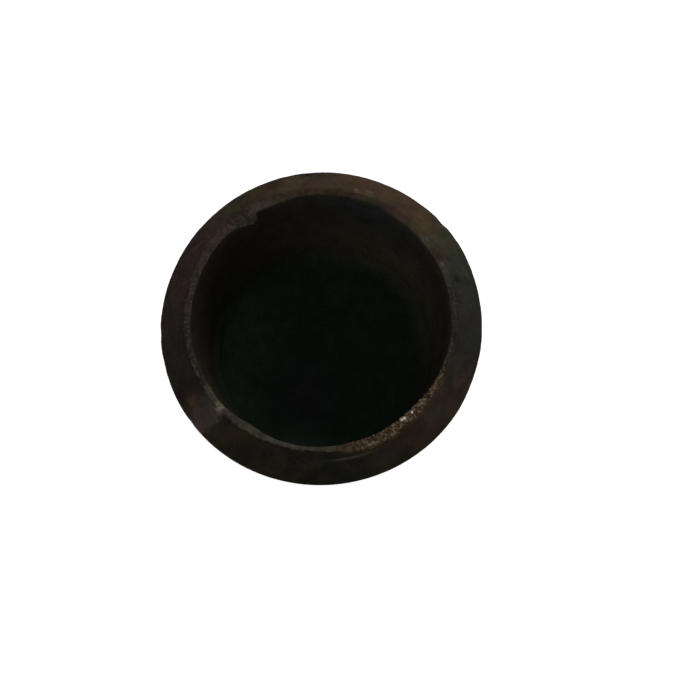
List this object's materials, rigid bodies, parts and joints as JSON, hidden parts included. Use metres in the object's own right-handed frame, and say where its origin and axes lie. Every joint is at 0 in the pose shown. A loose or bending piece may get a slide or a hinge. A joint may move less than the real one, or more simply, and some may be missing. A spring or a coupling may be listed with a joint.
{
  "type": "butt-weld pipe cap",
  "caption": "Butt-weld pipe cap: a straight steel collar with a bevelled weld end, closed by a semi-ellipsoidal head, all in one forged piece.",
  "frame": {"origin": "centre of the weld face, the plane of the flat land round the mouth", "axes": "+Z along the cap's axis, out of the mouth; the cap lies mouth up with its crown at -Z"},
  "size_m": [0.0484, 0.0484, 0.0381],
  "materials": {
    "cap": "dark mill scale with thin brown rust, rough"
  },
  "bodies": {
    "root": {"cap": "cap"}
  },
  "joints": []
}
